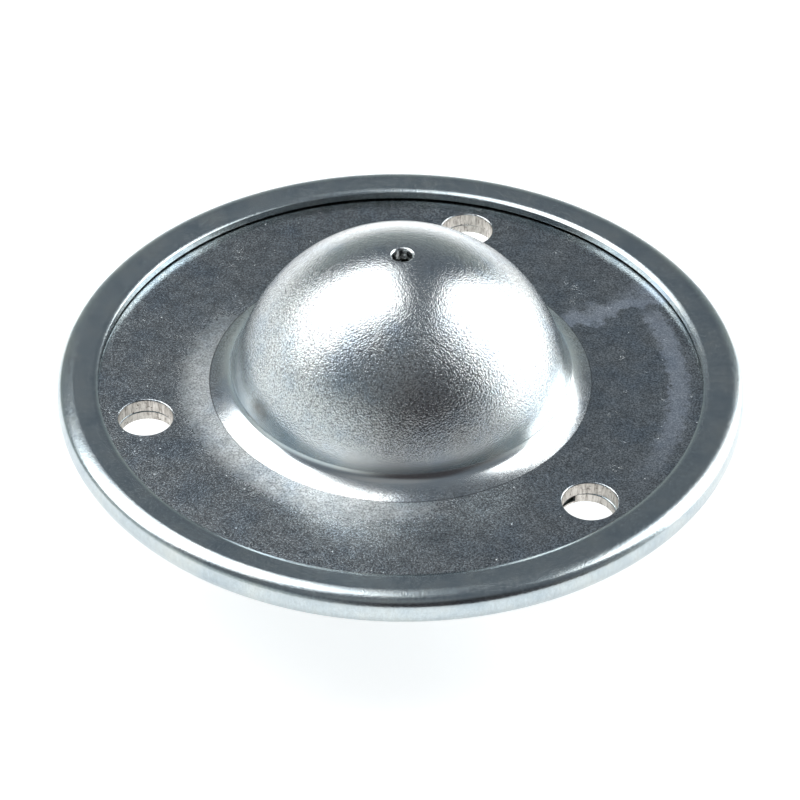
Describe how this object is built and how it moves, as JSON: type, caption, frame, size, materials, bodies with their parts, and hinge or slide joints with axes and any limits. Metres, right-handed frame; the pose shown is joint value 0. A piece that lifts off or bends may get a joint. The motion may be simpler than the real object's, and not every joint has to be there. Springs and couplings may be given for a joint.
{
  "type": "ball transfer unit",
  "caption": "Ball transfer unit with a round screw-on flange; its load ball rolls on bearing balls in a drawn cup, so that flat goods move over it in any direction.",
  "frame": {"origin": "centre of the load ball, which is also the centre of the screw-hole circle, in the plane where the two sheets of the flange meet", "axes": "+Z along the unit's axis towards the cup, away from the goods; +Y towards one screw hole"},
  "size_m": [0.07, 0.07, 0.0298],
  "materials": {
    "zinc_plated_cup_plate": "drawn sheet steel, bright zinc plating, satin with a fine orange peel and light scuffs",
    "zinc_plated_cover": "rolled sheet steel, bright zinc plating, smooth with fine forming lines round the rim",
    "load_ball_steel": "ground and polished carbon steel ball",
    "bearing_ball_steel": "ground and polished carbon steel balls, lightly oiled"
  },
  "bodies": {
    "housing": {"cup_plate": "zinc_plated_cup_plate", "cover": "zinc_plated_cover"},
    "bearing_balls": {"bearing_row_1": "bearing_ball_steel", "bearing_row_2": "bearing_ball_steel", "bearing_row_3": "bearing_ball_steel", "bearing_row_4": "bearing_ball_steel", "bearing_row_5": "bearing_ball_steel", "bearing_row_6": "bearing_ball_steel", "bearing_row_7": "bearing_ball_steel"},
    "load_ball": {"load_ball": "load_ball_steel"}
  },
  "joints": [
    {"name": "bearing_orbit", "type": "hinge", "parent": "housing", "child": "bearing_balls", "pos_m": [0, 0, 0], "axis": [0, 0, 1], "continuous": true},
    {"name": "ball_roll", "type": "hinge", "parent": "bearing_balls", "child": "load_ball", "pos_m": [0, 0, 0], "axis": [1, 0, 0], "continuous": true}
  ]
}
